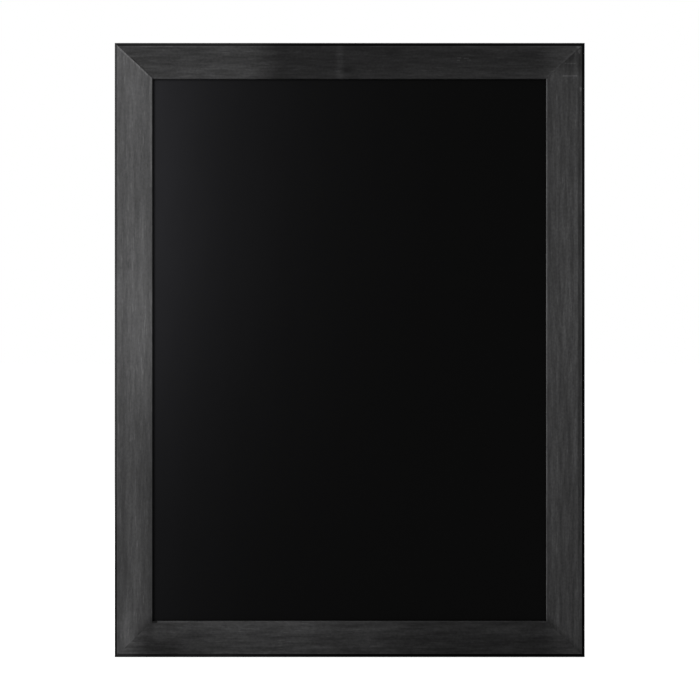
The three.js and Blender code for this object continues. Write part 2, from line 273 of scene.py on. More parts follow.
def strips(rings, size, spans, columns):
    """Faces from each ring of points to the next: how many spans they cross, and how many lie in each."""
    faces = []
    for i in range(spans):
        here = i * size
        there = (i + 1) % rings * size
        for j in range(columns):
            k = (j + 1) % size
            faces.append((here + j, here + k, there + k, there + j))
    return faces


def swept(name, rings, closed=False):
    """A solid through equal rings of points, capped at its ends unless it closes on itself."""
    size = len(rings[0])
    vertices = [point for ring in rings for point in ring]
    faces = strips(len(rings), size, len(rings) if closed else len(rings) - 1, size)
    if not closed:
        faces.append(tuple(reversed(range(size))))
        faces.append(tuple(range(len(vertices) - size, len(vertices))))
    return tidy(mesh_of(name, vertices, faces))


def turned(name, outline, sides):
    """A solid turned about Y from its outline: pairs of radius and height, with both ends on the axis."""
    vertices = []
    for i in range(sides):
        angle = 2 * math.pi * i / sides
        vertices += [(r * math.cos(angle), y, r * math.sin(angle)) for r, y in outline]
    return tidy(mesh_of(name, vertices, strips(sides, len(outline), sides, len(outline) - 1)))


def cut_sheet(name, outlines, thickness, edge):
    """A flat sheet in X and Y with eased edges. The first outline is its rim, and the rest are holes."""
    curve = bpy.data.curves.new(name, "CURVE")
    curve.dimensions = "2D"
    curve.fill_mode = "BOTH"
    curve.extrude = thickness / 2 - edge
    curve.bevel_depth = edge
    curve.bevel_resolution = EDGE_FACETS
    curve.offset = -edge
    for outline in outlines:
        spline = curve.splines.new("POLY")
        spline.points.add(len(outline) - 1)
        for point, (x, y) in zip(spline.points, outline):
            point.co = (x, y, 0, 1)
        spline.use_cyclic_u = True
    holder = new_object(name, curve)
    mesh = shape_now(holder)
    mesh.materials.clear()
    bpy.data.objects.remove(holder)
    bpy.data.curves.remove(curve)
    return tidy(mesh)


def sliced(mesh, places, way):
    """Cuts a mesh's faces at each place along one axis, so that it can be bent there."""
    shape = bmesh.new()
    shape.from_mesh(mesh)
    for place in places:
        geom = [*shape.verts, *shape.edges, *shape.faces]
        bmesh.ops.bisect_plane(shape, geom=geom, dist=WELD, plane_co=place * Vector(way), plane_no=way)
    shape.to_mesh(mesh)
    shape.free()
    return mesh


def upright(mesh):
    """Stands a flat sheet up, with its thickness along Y."""
    mesh.transform(Matrix.Rotation(math.pi / 2, 4, "X"))
    return mesh


def carved(piece, cutters):
    """Takes the shapes of cutter meshes out of a piece's mesh."""
    for mesh in cutters:
        cutter = new_object("cutter", mesh)
        cut = piece.modifiers.new("cut", "BOOLEAN")
        cut.operation = "DIFFERENCE"
        cut.solver = "MANIFOLD"
        cut.object = cutter
        result = shape_now(piece)
        piece.modifiers.clear()
        piece.data = result
        bpy.data.objects.remove(cutter)
        bpy.data.meshes.remove(mesh)
    softened(piece.data)
    return piece


def finished(piece, material, nodes, body="frame"):
    """Paints a piece, and says which nodes it stands for and what it rides on."""
    piece.data.materials.clear()
    piece.data.materials.append(material)
    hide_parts(*nodes)
    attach(piece, body)
    return piece


# Shaders.

class Tree:
    """The nodes of a material or a world."""

    def __init__(self, owner):
        owner.use_nodes = True
        self.nodes = owner.node_tree.nodes
        self.links = owner.node_tree.links

    def put(self, socket, value):
        if isinstance(value, bpy.types.NodeSocket):
            self.links.new(value, socket)
        else:
            socket.default_value = value

    def add(self, kind, inputs, **settings):
        """Adds a node with its settings and with inputs by name or number, and gives its outputs."""
        node = self.nodes.new("ShaderNode" + kind)
        for name, setting in settings.items():
            setattr(node, name, setting)
        for key, value in inputs.items():
            self.put(node.inputs[key], value)
        return node.outputs

    def maths(self, operation, *values):
        return self.add("Math", dict(enumerate(values)), operation=operation)[0]


# Limits that most of a noise pattern's values lie between.
NOISE_LIMITS = (0.25, 0.75)
NOISE_MIDDLE = (0.3, 0.7)


class Shade(Tree):
    """A material with one Principled shader, and short ways to add what feeds it. A pattern's scale is
    its number of waves a metre."""

    def __init__(self, name, specular=0.5, metallic=0.0):
        self.material = bpy.data.materials.new(name)
        super().__init__(self.material)
        self.shader = self.nodes["Principled BSDF"]
        self.shader.inputs["Specular IOR Level"].default_value = specular
        self.shader.inputs["Metallic"].default_value = metallic
        self.place = self.add("TexCoord", {})["Object"]

    def split(self, vector):
        return self.add("SeparateXYZ", {0: vector})

    def vector(self, *values):
        return self.add("CombineXYZ", dict(enumerate(values)))[0]

    def colour(self, *values):
        return self.add("CombineColor", dict(enumerate(values)))[0]

    def scaled(self, vector, scales, shift=(0, 0, 0)):
        return self.add("Mapping", {"Vector": vector, "Scale": scales, "Location": shift})[0]

    def noise(self, vector, scale=1.0, detail=2.0, roughness=0.5):
        inputs = {"Vector": vector, "Scale": scale, "Detail": detail, "Roughness": roughness}
        return self.add("TexNoise", inputs)["Fac"]

    def span(self, value, low, high, start=0.0, end=1.0):
        """Start below low, end above high, and a smooth step between."""
        inputs = {"Value": value, "From Min": low, "From Max": high, "To Min": start, "To Max": end}
        return self.add("MapRange", inputs, interpolation_type="SMOOTHSTEP")["Result"]

    def minus(self, value, less):
        return self.maths("SUBTRACT", value, less)

    def near(self, value, place, flat, reach, there, elsewhere=1.0):
        """One value near a place, and another beyond a reach from it."""
        away = self.maths("ABSOLUTE", self.minus(value, place))
        return self.span(away, flat, reach, there, elsewhere)

    def within(self, value, low, high, soft):
        """1 between two places and 0 outside them, with soft ends."""
        return self.product(
            self.span(value, low - soft, low + soft),
            self.span(value, high - soft, high + soft, 1, 0),
        )

    def where(self, mask, factor):
        """A factor where a mask is 1, and 1 where it is 0."""
        return self.maths("MULTIPLY_ADD", mask, factor - 1, 1.0)

    def around(self, value, spread):
        """A noise value, as a factor about 1."""
        return self.span(value, *NOISE_LIMITS, 1 - spread, 1 + spread)

    def product(self, *values):
        result = values[0]
        for value in values[1:]:
            result = self.maths("MULTIPLY", result, value)
        return result

    def blend(self, factor, first, second):
        return self.add("Mix", {"Factor": factor, "A": first, "B": second}, data_type="RGBA")["Result"]

    def tinted(self, brightness, tint):
        return self.colour(*(self.product(brightness, share) for share in tint))

    def bump(self, height, distance, strength):
        outputs = self.add("Bump", {"Height": height, "Distance": distance, "Strength": strength})
        self.put(self.shader.inputs["Normal"], outputs["Normal"])

    def finish(self, colour, roughness):
        self.put(self.shader.inputs["Base Color"], colour)
        self.put(self.shader.inputs["Roughness"], roughness)
        return self.material


# Mouldings.

def grain_height(along, across, seed):
    height = -GRAIN_SINK
    for waves_along, waves_across, row in GRAIN_LAYERS:
        spot = Vector((along * waves_along, across * waves_across, seed + row))
        height += noise.noise(spot) / len(GRAIN_LAYERS)
    return GRAIN_HEIGHT * height


def arris_wear(along, seed):
    wear = WEAR_START
    for waves, row, share in WEAR_LAYERS:
        wear += share * noise.noise(Vector((along * waves, seed, row)))
    return ARRIS_WEAR * max(0.0, wear)


def moulding_section(width):
    """Points round a moulding's section: across from the outer edge, and depth from the face. With each
    go the shares of grain relief and of arris wear that it takes."""
    wall = width - REBATE_WIDTH
    outer = arc((OUTER_ROUND, OUTER_ROUND), OUTER_ROUND, 180, 270, OUTER_FACETS)
    face = [(x, 0) for x in evenly(OUTER_ROUND, width - INNER_ROUND, FACE_SPACING)]
    inner = arc((width - INNER_ROUND, INNER_ROUND), INNER_ROUND, 270, 360, INNER_FACETS)
    rebate = [(width, lip_depth), (wall, lip_depth)]
    inner_back = arc((wall - BACK_ROUND, frame_depth - BACK_ROUND), BACK_ROUND, 0, 90, BACK_FACETS)
    back = [(x, frame_depth) for x in evenly(wall - BACK_ROUND, BACK_ROUND, BACK_SPACING)]
    outer_back = arc((BACK_ROUND, frame_depth - BACK_ROUND), BACK_ROUND, 90, 180, BACK_FACETS)
    side = [(0, y) for y in evenly(frame_depth - BACK_ROUND, OUTER_ROUND, SIDE_SPACING)]
    section = []
    for points, grain, wear in (
        (outer, OUTER_GRAIN, 1), (face, 1, 0), (inner, INNER_GRAIN, INNER_WEAR), (rebate, 0, 0),
        (inner_back, 0, 0), (back, BACK_GRAIN, 0), (outer_back, 0, 0), (side, OUTER_GRAIN, 0),
    ):
        for k, point in enumerate(points):
            section.append((point, grain, wear * math.sin(math.pi * k / len(points))))
    return section


def outwards(section, i):
    """The section's outward direction at one of its points."""
    before = section[i - 1][0]
    after = section[(i + 1) % len(section)][0]
    return Vector((after[1] - before[1], before[0] - after[0])).normalized()


def moulding(name, width, other_width, length, place, seed):
    """A mitred moulding. Its own frame has X inwards from the outer edge, and Z along its length. A
    share is a place along it, from -1 at one mitre to 1 at the other."""
    section = moulding_section(width)
    slope = other_width / width
    ways = [outwards(section, i) for i in range(len(section))]
    steps = round(length / LENGTH_SPACING)
    eased = 1 - 2 * MITRE_EASE_REACH / length
    shares = [-1, -eased] + [2 * k / steps - 1 for k in range(1, steps)] + [eased, 1]
    rings = []
    for share in shares:
        ring = []
        for ((x, y), grain, wear), way in zip(section, ways):
            z = share * (length / 2 - x * slope)
            height = grain * grain_height(z, x + y, seed) - wear * arris_wear(z, seed)
            height *= min(1.0, (1 - abs(share)) * steps / 2)
            if abs(share) == 1:
                height = -MITRE_EASE
            ring.append(place @ Vector((x + way.x * height, frame_front + y + way.y * height, z)))
        rings.append(ring)
    return new_object(name, swept(name, rings))


def side_place(turn, x, z):
    return Matrix.Translation((x, 0, z)) @ Matrix.Rotation(math.radians(turn), 4, "Y")


class Side:
    """A side of the frame: its moulding, where its own frame lies, how many flexible points it has, and
    towards which end its D-ring points."""

    def __init__(self, name, node, width, other_width, length, points, place, ring_end, seed):
        self.name = name
        self.node = node
        self.wall = width - REBATE_WIDTH
        self.width = width
        self.length = length
        self.slope = other_width / width
        self.sight = length - 2 * other_width
        self.points = points
        self.place = place
        self.ring_end = ring_end
        self.seed = seed
        self.piece = moulding(node + "_wood", width, other_width, length, place, seed)
        self.cutters = []


stile = {"width": stile_width, "other_width": rail_width, "length": board_height, "points": POINTS_ON_STILE}
rail = {"width": rail_width, "other_width": stile_width, "length": board_width, "points": POINTS_ON_RAIL}
sides = [
    Side("left", "left_stile", **stile, place=side_place(0, board_low.x, middle), ring_end=1, seed=1.3),
    Side("right", "right_stile", **stile, place=side_place(180, board_high.x, middle), ring_end=-1, seed=4.1),
    Side("top", "top_rail", **rail, place=side_place(90, 0, board_high.z), ring_end=-1, seed=7.7),
    Side("bottom", "bottom_rail", **rail, place=side_place(-90, 0, 0), ring_end=1, seed=9.2),
]
side_named = {side.name: side for side in sides}


# Wood.

# The sheen and tint of all of it, and the one tone of its sides and its back.
WOOD_GLOSS = 0.015
WOOD_ROUGHNESS = (0.44, 0.56)
WOOD_TINT = (1, 0.995, 1.01)
ARRIS_POLISH = 0.75
HIDDEN_TONE = 0.03
HIDDEN_ROUGHNESS = 0.9

# Patterns in it: their scales along, across and into the wood, and how much detail they have.
STREAKS = {"scales": (28, 270, 270), "detail": 3, "roughness": 0.55}
BANDS = {"scales": (5, 75, 75), "detail": 2}
MOTTLE = {"scales": (300, 360, 360), "detail": 2}
PORES = {"scales": (85, 1900, 1900), "detail": 2}
FLECKS = {"scales": (55, 640, 640), "detail": 1}
BAND_LIMITS = (0.2, 0.8)
BAND_SPREAD = 0.2
MOTTLE_SHARE = 0.6
PORE_LIMITS = (0.58, 0.72)
PORE_TONES = (1.03, 0.72)
FLECK_LIMITS = (0.6, 0.75)
FLECK_TONES = (0.985, 1.3)
PORE_DEPTH = 0.5
WOOD_BUMP = 0.1 * MM
WOOD_BUMP_STRENGTH = 0.4

# Edges: how soft a change is at an arris, where the painted highlight line beside the outer one lies, how
# deep the face's tone reaches down the outer side, and how far it reaches under the lip.
EDGE_SOFT = 0.3 * MM
HIGHLIGHT_PLACE = 0.8 * MM
HIGHLIGHT_FLAT = 0.3 * MM
HIGHLIGHT_REACH = 1 * MM
SIDE_FADE = (2 * MM, 4.5 * MM)
LIP_FADE = (0.2 * MM, 2 * MM)

# Marks in the stain: how soft a patch's edges are, the core of a knot or a line as a share of its size,
# how long a knot is for its width, stain that ran over a mitre, and beads of stain along one.
PATCH_SOFT = 0.6 * MM
MARK_CORE = 0.3
KNOT_STRETCH = 2
RUN_WAVE = 10 * MM
RUN_SCALE = 110
RUN_SOFT = 3 * MM
BEAD_SCALE = 260
BEAD_LIMITS = (0.35, 0.6)
BEAD_LEAST = 0.35
LINE_END_SOFT = 2 * MM


class Wood(Shade):
    """Black stain on a moulding, with places across and along its face, and from the mitres at its low
    and its high end."""

    def __init__(self, side):
        super().__init__("stained_wood_" + side.name, specular=WOOD_GLOSS)
        self.seed = side.seed
        x, depth, z = self.split(self.place)
        self.across, self.along = {
            "left": (self.minus(x, board_low.x), z),
            "right": (self.minus(board_high.x, x), z),
            "top": (self.minus(board_high.z, z), self.minus(x, board_low.x)),
            "bottom": (z, self.minus(x, board_low.x)),
        }[side.name]
        self.behind = self.minus(depth, frame_front)
        lean = self.product(self.across, side.slope)
        self.low_mitre = self.minus(self.along, lean)
        self.high_mitre = self.minus(self.minus(side.length, self.along), lean)
        self.grain = self.vector(self.along, self.across, depth)

    def pattern(self, scales, detail, roughness=0.5):
        """Noise that is stretched along the grain, and different on each moulding."""
        shift = (self.seed, 2 * self.seed, 3 * self.seed)
        return self.noise(self.scaled(self.grain, scales, shift), detail=detail, roughness=roughness)

    def knot(self, across, along, size, factor):
        """A long round spot that is lighter or darker by a factor."""
        x = self.minus(self.across, across)
        z = self.product(self.minus(self.along, along), 1 / KNOT_STRETCH)
        reach = self.maths("SQRT", self.maths("ADD", self.product(x, x), self.product(z, z)))
        return self.span(reach, MARK_CORE * size, size, factor, 1)

    def patch(self, across, along, factor, soft=PATCH_SOFT):
        """A rectangle with soft edges that is lighter or darker by a factor."""
        mask = self.product(self.within(self.across, *across, soft), self.within(self.along, *along, soft))
        return self.where(mask, factor)

    def foot(self, mask, fade, factor):
        """Lighter or darker by a factor where a mask is 1, fading between two heights above the foot."""
        return self.where(self.product(mask, self.span(self.along, *fade, 1, 0)), factor)

    def run(self, across, reach, factor):
        """Stain that ran from the rail over the stile's lower mitre, with a wavy edge."""
        wave = self.noise(self.grain, RUN_SCALE, detail=3)
        past = self.maths("MULTIPLY_ADD", wave, -RUN_WAVE, self.low_mitre)
        beside = self.within(self.across, *across, RUN_SOFT)
        mask = self.product(beside, self.span(past, -reach, reach, 1, 0))
        return self.where(mask, factor)

    def line(self, mitre, width, across, factor):
        """An uneven line along a mitre, between two places across."""
        beside = self.near(mitre, width / 2, MARK_CORE * width, width, 1, 0)
        beads = self.span(self.noise(self.grain, BEAD_SCALE, detail=1), *BEAD_LIMITS, BEAD_LEAST, 1)
        mask = self.product(beside, beads, self.within(self.across, *across, LINE_END_SOFT))
        return self.where(mask, factor)


def stained(side, tone, figure, edge_reach, edge_stain_and_shade, edge_highlight, inner_reach, inner_painted_light, marks):
    """Tone is how light the face is, painted sheen included, and figure how strongly its grain shows. The
    outer arris, dark with stain and with painted shade, has a reach, a tone that changes along it and a
    painted highlight line beside it, and the inner arris a reach and a factor of painted highlight or painted
    shade."""
    wood = Wood(side)
    streaks = wood.pattern(**STREAKS)
    bands = wood.pattern(**BANDS)
    pore = wood.span(wood.pattern(**PORES), *PORE_LIMITS)
    figured = wood.product(
        wood.around(streaks, figure),
        wood.around(bands, BAND_SPREAD),
        wood.around(wood.pattern(**MOTTLE), MOTTLE_SHARE * figure),
        wood.span(pore, 0, 1, *PORE_TONES),
        wood.span(wood.pattern(**FLECKS), *FLECK_LIMITS, *FLECK_TONES),
    )

    from_inner = wood.minus(side.width, wood.across)
    edge = wood.span(wood.across, edge_reach - EDGE_SOFT, edge_reach + EDGE_SOFT)
    arris = wood.span(from_inner, inner_reach - EDGE_SOFT, inner_reach + EDGE_SOFT)
    # Painted light: the outer arris is darkened by stain and by painted shade, the line beside it is a
    # painted highlight, and the inner arris has a painted highlight, or painted shade on the left stile.
    face = wood.product(
        *marks(wood),
        wood.maths("MAXIMUM", edge, wood.span(wood.along, *edge_stain_and_shade)),
        wood.near(wood.across, edge_reach + HIGHLIGHT_PLACE, HIGHLIGHT_FLAT, HIGHLIGHT_REACH, edge_highlight),
        wood.span(arris, 0, 1, inner_painted_light, 1),
        tone,
    )

    front = wood.span(wood.behind, *SIDE_FADE, 1, 0)
    inside = wood.span(wood.behind, lip_depth - SEAT_GAP, lip_depth, 1, 0)
    shown = wood.maths("MAXIMUM", front, wood.product(inside, wood.span(from_inner, *LIP_FADE, 1, 0)))
    plain = wood.maths("MULTIPLY_ADD", shown, wood.minus(face, HIDDEN_TONE), HIDDEN_TONE)
    satin = wood.product(
        wood.span(bands, *BAND_LIMITS, *WOOD_ROUGHNESS),
        wood.span(wood.maths("MINIMUM", edge, arris), 0, 1, ARRIS_POLISH, 1),
    )
    satin_over = wood.minus(satin, HIDDEN_ROUGHNESS)
    roughness = wood.maths("MULTIPLY_ADD", shown, satin_over, HIDDEN_ROUGHNESS)

    relief = wood.minus(streaks, wood.product(pore, PORE_DEPTH))
    wood.bump(relief, WOOD_BUMP, WOOD_BUMP_STRENGTH)
    return wood.finish(wood.tinted(wood.product(figured, plain), WOOD_TINT), roughness)


def left_marks(wood):
    """Darker towards its foot as painted shade, away from the light above, and darker towards its inner edge,
    with a knot, a light swath above the lower mitre and stain that ran over it, beads of light stain along
    the upper mitre, and a painted highlight line by its inner arris near the top."""
    swath = wood.within(wood.across, 9.5 * MM, 19 * MM, soft=4 * MM)
    inner = wood.span(wood.across, 32 * MM, 40 * MM)
    return [
        # Painted shade: darker towards the foot.
        wood.span(wood.along, 180 * MM, 420 * MM, start=0.68, end=1),
        wood.span(wood.across, 34 * MM, 47 * MM, start=1.02, end=0.86),
        wood.knot(across=19 * MM, along=501 * MM, size=5 * MM, factor=0.75),
        wood.foot(swath, fade=(30 * MM, 100 * MM), factor=1.7),
        wood.patch(across=(18 * MM, 25.5 * MM), along=(-100 * MM, 60 * MM), soft=2 * MM, factor=1.15),
        wood.patch(across=(-10 * MM, 9 * MM), along=(45 * MM, 170 * MM), soft=2 * MM, factor=0.86),
        wood.foot(inner, fade=(200 * MM, 260 * MM), factor=0.84),
        wood.run(across=(26.5 * MM, 60 * MM), reach=9 * MM, factor=0.55),
        wood.line(wood.high_mitre, width=2.4 * MM, across=(3 * MM, 44 * MM), factor=1.5),
        # Painted highlight: a light line beside the inner arris near the top.
        wood.patch(across=(45 * MM, 47.6 * MM), along=(600 * MM, 740 * MM), factor=1.3),
    ]


def right_marks(wood):
    """Lighter stripes and a darker one along it, a darker inner edge at its foot where the painted highlight
    on its inner arris fades, stain that ran over the lower mitre, and near the top a darker stretch, two fine
    scuffs across, a dark line by the mitre and two light spots."""
    stripe = wood.product(
        wood.near(wood.across, place=6.7 * MM, flat=1 * MM, reach=2.8 * MM, there=1, elsewhere=0),
        wood.span(wood.along, 620 * MM, 700 * MM, start=1, end=0.3),
        wood.span(wood.along, 50 * MM, 230 * MM),
    )
    inner = wood.span(wood.across, 33 * MM, 39 * MM)
    return [
        wood.span(wood.along, 240 * MM, 420 * MM, start=0.9, end=1.13),
        wood.near(wood.across, place=38 * MM, flat=3 * MM, reach=7 * MM, there=1.16),
        wood.where(stripe, factor=0.6),
        # The painted highlight on the inner edge fades towards the foot.
        wood.foot(inner, fade=(60 * MM, 140 * MM), factor=0.7),
        wood.near(wood.across, place=11.5 * MM, flat=1.5 * MM, reach=3.5 * MM, there=1.15),
        wood.run(across=(4 * MM, 60 * MM), reach=6 * MM, factor=0.6),
        wood.span(wood.along, 660 * MM, 720 * MM, start=1, end=0.9),
        wood.span(wood.along, 739 * MM, 757 * MM, start=1, end=0.66),
        wood.patch(across=(9.5 * MM, 28.5 * MM), along=(741 * MM, 742.4 * MM), factor=1.8),
        wood.patch(across=(12 * MM, 26 * MM), along=(757 * MM, 758.2 * MM), factor=1.7),
        wood.line(wood.high_mitre, width=5 * MM, across=(13 * MM, 26 * MM), factor=0.62),
        wood.knot(across=7 * MM, along=773.2 * MM, size=2.2 * MM, factor=2.4),
        wood.knot(across=5.4 * MM, along=724.8 * MM, size=2.2 * MM, factor=2),
    ]


def top_marks(wood):
    """Lighter on its left as a painted sheen of the light at the left, and lighter at its right end, with a
    light band and a dark spot by it, lines along both mitres, a light spot, and four small scuffs."""
    return [
        # Painted sheen: lighter on the left, towards the light.
        wood.span(wood.along, 162 * MM, 218 * MM, start=1.85, end=0.78),
        wood.span(wood.along, 280 * MM, 440 * MM, start=1, end=1.25),
        wood.near(wood.along, place=287.5 * MM, flat=1 * MM, reach=8 * MM, there=1.4),
        wood.knot(across=34 * MM, along=297 * MM, size=6 * MM, factor=0.7),
        wood.span(wood.along, 535 * MM, 575 * MM, start=1, end=1.75),
        wood.line(wood.high_mitre, width=3 * MM, across=(5 * MM, 44 * MM), factor=1.35),
        wood.line(wood.low_mitre, width=2.6 * MM, across=(20 * MM, 46 * MM), factor=0.75),
        wood.knot(across=5.6 * MM, along=591.4 * MM, size=2.2 * MM, factor=2),
        wood.patch(across=(18.8 * MM, 19.8 * MM), along=(437 * MM, 442 * MM), factor=2.1),
        wood.patch(across=(19.4 * MM, 20.4 * MM), along=(445.6 * MM, 452 * MM), factor=2.1),
        wood.patch(across=(22 * MM, 23 * MM), along=(437 * MM, 440.5 * MM), factor=1.9),
        wood.patch(across=(21.6 * MM, 22.6 * MM), along=(449.5 * MM, 454.6 * MM), factor=1.8),
    ]


def bottom_marks(wood):
    """Lighter on its left as a painted sheen of the light at the left, at both ends and towards the panel. At
    the lower left are a dark spot in the inner corner, a broad darker one, and a lighter patch."""
    return [
        # Painted sheen: lighter on the left, towards the light.
        wood.near(wood.along, place=185 * MM, flat=20 * MM, reach=120 * MM, there=1.5),
        wood.near(wood.along, place=285 * MM, flat=30 * MM, reach=90 * MM, there=1.3),
        wood.patch(across=(43.6 * MM, 60 * MM), along=(48 * MM, 54.5 * MM), soft=0.5 * MM, factor=0.3),
        wood.span(wood.along, 320 * MM, 440 * MM, start=1.27, end=0.9),
        wood.span(wood.across, 6 * MM, 38 * MM, start=0.84, end=1.12),
        wood.knot(across=12 * MM, along=57 * MM, size=22 * MM, factor=0.85),
        wood.patch(across=(22 * MM, 70 * MM), along=(50 * MM, 95 * MM), soft=6 * MM, factor=1.35),
        wood.span(wood.along, 10 * MM, 45 * MM, start=2.7, end=1.08),
        wood.span(wood.along, 545 * MM, 575 * MM, start=1, end=1.75),
    ]


# Each side's tone holds painted sheen: the stiles are about twice as light as the rails, as grain along them
# catches the light from the left, and the left stile is lighter than the right, nearer that light.
WOODS = {
    "left": dict(
        tone=0.087, figure=0.14, edge_reach=2.9 * MM, edge_stain_and_shade=(50 * MM, 320 * MM, 0.1, 0.42),
        edge_highlight=1, inner_reach=1.2 * MM, inner_painted_light=0.15, marks=left_marks,
    ),
    "right": dict(
        tone=0.048, figure=0.215, edge_reach=3.9 * MM, edge_stain_and_shade=(390 * MM, 460 * MM, 0.02, 0.12),
        edge_highlight=1.15, inner_reach=0.8 * MM, inner_painted_light=2.6, marks=right_marks,
    ),
    "top": dict(
        tone=0.0219, figure=0.225, edge_reach=4.1 * MM, edge_stain_and_shade=(180 * MM, 260 * MM, 0.3, 0.1),
        edge_highlight=1.3, inner_reach=1 * MM, inner_painted_light=1.2, marks=top_marks,
    ),
    "bottom": dict(
        tone=0.0204, figure=0.245, edge_reach=4.4 * MM, edge_stain_and_shade=(60 * MM, 300 * MM, 0.3, 0.02),
        edge_highlight=1.25, inner_reach=1.2 * MM, inner_painted_light=1.35, marks=bottom_marks,
    ),
}


# The two boards.

# Lacquer. The haze of chalk and the painted reflection of the light at the left fall to 37% over each reach
# from the left, and thin out towards the foot: between which heights, and from which share to which.
LACQUER_TONE = 0.0012
LACQUER_GLOSS = 0.025
LACQUER_ROUGHNESS = (0.38, 0.44)
CHALK_AND_SHEEN = 0.018
SHEEN_REACH = 93 * MM
SHEEN_TINT = (1, 1, 1.13)
SHEEN_FOOT = (80 * MM, 620 * MM, 0.26, 1)
WIPE_SCALES = (16, 16, 5)
WIPE_SPREAD = 0.06
SPECK_SCALE = 700
SPECK_SPREAD = 0.015
PEEL_SCALE = 260
PEEL_DEPTH = 0.01 * MM
PEEL_STRENGTH = 0.25

# Hardboard, with the mesh's pitch in its weave.
HARDBOARD_GLOSS = 0.3
HARDBOARD_ROUGHNESS = (0.66, 0.8)
FIBRE_SCALES = (260, 260, 420)
FIBRE_DARK = (0.115, 0.058, 0.026, 1)
FIBRE_LIGHT = (0.215, 0.118, 0.058, 1)
CLOUD_SCALE = 9
CLOUD_LIMITS = (0.35, 0.7)
CLOUD_BROWN = (0.095, 0.05, 0.026, 1)
CLOUD_SHARE = 0.35
WEAVE_PITCH = 2.1 * MM
WEAVE_SHARE = 0.4
FIBRE_DEPTH = 0.25 * MM
FIBRE_STRENGTH = 0.7


def lacquer():
    """Writing surface: near black, satin, with a thin haze of wiped chalk and a painted reflection of the
    light at the left, lighter towards the upper left.
    """
    shade = Shade("chalk_lacquer", specular=LACQUER_GLOSS)
    x, _, z = shade.split(shade.place)
    wiped = shade.noise(shade.scaled(shade.place, WIPE_SCALES), detail=4, roughness=0.6)
    # Chalk haze and painted reflection of the light at the left, in one: fading from the left and towards the
    # foot.
    chalk_and_sheen = shade.product(
        shade.maths("POWER", math.exp(-1 / SHEEN_REACH), shade.minus(x, panel_low.x)),
        shade.span(z, *SHEEN_FOOT),
        shade.around(wiped, WIPE_SPREAD),
        shade.around(shade.noise(shade.place, SPECK_SCALE), SPECK_SPREAD),
        CHALK_AND_SHEEN,
    )
    colour = shade.colour(*(shade.maths("MULTIPLY_ADD", chalk_and_sheen, share, LACQUER_TONE) for share in SHEEN_TINT))
    shade.bump(shade.noise(shade.place, PEEL_SCALE, detail=1), PEEL_DEPTH, PEEL_STRENGTH)
    return shade.finish(colour, shade.span(wiped, *NOISE_LIMITS, *LACQUER_ROUGHNESS))


def fibreboard():
    """Pressed brown fibres, with the mark of the press's wire mesh on the back."""
    shade = Shade("hardboard_back", specular=HARDBOARD_GLOSS)
    x, _, z = shade.split(shade.place)
    fibres = shade.noise(shade.scaled(shade.place, FIBRE_SCALES), detail=5, roughness=0.65)
    clouds = shade.noise(shade.place, CLOUD_SCALE, detail=3)
    turns = 2 * math.pi / WEAVE_PITCH
    weave = shade.product(*(shade.maths("SINE", shade.product(place, turns)) for place in (x, z)))
    colour = shade.blend(shade.span(fibres, *NOISE_MIDDLE), FIBRE_DARK, FIBRE_LIGHT)
    colour = shade.blend(shade.span(clouds, *CLOUD_LIMITS, 0, CLOUD_SHARE), colour, CLOUD_BROWN)
    shade.bump(shade.maths("MULTIPLY_ADD", weave, WEAVE_SHARE, fibres), FIBRE_DEPTH, FIBRE_STRENGTH)
    return shade.finish(colour, shade.span(fibres, *NOISE_MIDDLE, *HARDBOARD_ROUGHNESS))


def rounded_rectangle(width, height, radius, steps):
    points = []
    for right, top, turn in ((1, -1, -90), (1, 1, 0), (-1, 1, 90), (-1, -1, 180)):
        centre = (right * (width / 2 - radius), top * (height / 2 - radius))
        points += arc(centre, radius, turn, turn + 90, steps)
    return points


def board(name, low, high, seed):
    """A board with rounded corners and eased edges, whose two faces are very slightly wavy."""
    width = high.x - low.x
    height = high.z - low.z
    outline = rounded_rectangle(width, height, BOARD_CORNER, BOARD_CORNER_FACETS)
    mesh = upright(cut_sheet(name, [outline], high.y - low.y, BOARD_EASE))
    mesh = sliced(mesh, evenly(-width / 2, width / 2, BOARD_SPACING), (1, 0, 0))
    mesh = sliced(mesh, evenly(-height / 2, height / 2, BOARD_SPACING), (0, 0, 1))
    flat = (high.y - low.y) / 2 - BOARD_EASE / 4
    for vertex in mesh.vertices:
        x, y, z = vertex.co
        if abs(y) > flat:
            wave = noise.noise(Vector((x * BOARD_WAVES, seed, z * BOARD_WAVES)))
            vertex.co.y -= math.copysign(BOARD_WAVE * (1 + wave) / 2, y)
    mesh.transform(Matrix.Translation((0, (low.y + high.y) / 2, (low.z + high.z) / 2)))
    return new_object(name, softened(mesh))


finished(board("writing_surface", panel_low, panel_high, seed=2.5),
         lacquer(), ["writing_panel"])
finished(board("hardboard_sheet", backing_low, backing_high, seed=6.5),
         fibreboard(), ["backing_board"])


# Steel and rubber.

# Steel: its stains' scale and detail, their two colours, how rough they leave it, and fine scratches.
STAIN_ROUGHNESS = 0.6
BLUED = dict(
    scale=420, detail=4, limits=(0.35, 0.7), dark=(0.2, 0.215, 0.25, 1), light=(0.34, 0.33, 0.33, 1),
    sheen_limits=NOISE_MIDDLE, sheen=(0.3, 0.5), scratches=(300, 300, 3200), depth=0.02 * MM, strength=0.4,
)
ZINC = dict(
    scale=240, detail=3, limits=(0.3, 0.75), dark=(0.27, 0.28, 0.3, 1), light=(0.39, 0.385, 0.37, 1),
    sheen_limits=NOISE_LIMITS, sheen=(0.2, 0.36), scratches=(2600, 300, 500), depth=0.015 * MM, strength=0.35,
)

